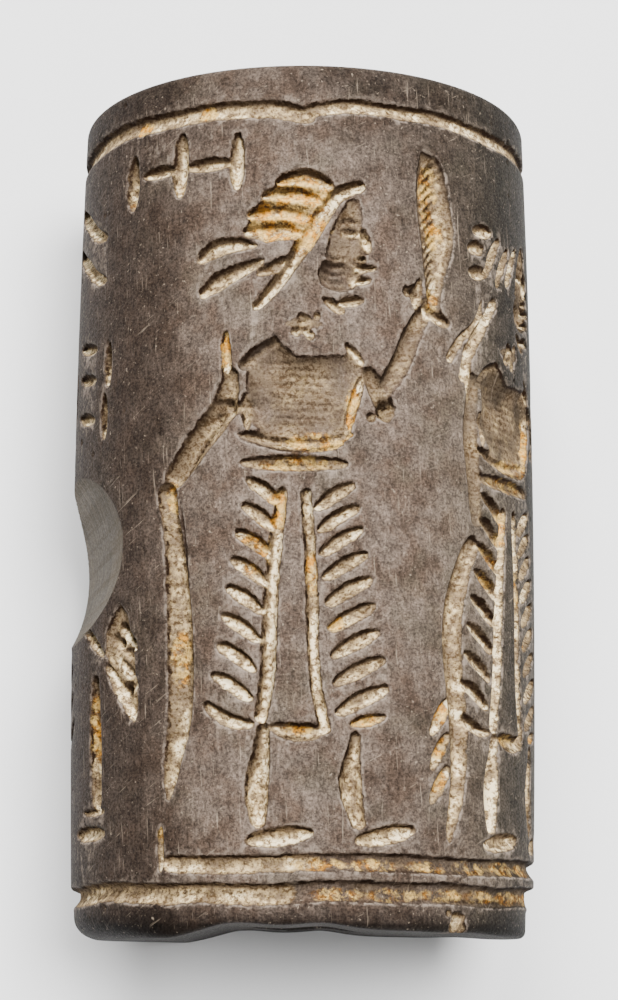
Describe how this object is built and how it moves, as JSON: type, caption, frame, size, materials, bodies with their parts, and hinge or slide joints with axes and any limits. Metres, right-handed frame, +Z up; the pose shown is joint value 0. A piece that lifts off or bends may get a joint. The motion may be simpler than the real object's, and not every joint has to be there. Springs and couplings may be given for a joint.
{
  "type": "intaglio seal bead",
  "caption": "Pierced dark stone cylinder seal lying on a small flat, its side engraved with robed figures between border lines.",
  "frame": {"origin": "middle of the bounding box's underside, on the flat that the bead lies on", "axes": "+Y along the bead towards its top end, +Z up through the front figure, +X to the right of the front figure"},
  "size_m": [0.017, 0.03, 0.0168],
  "materials": {
    "stone": "worn, satin, with pale earth left in the cuts"
  },
  "bodies": {
    "root": {"seal_stone": "stone"}
  },
  "joints": []
}
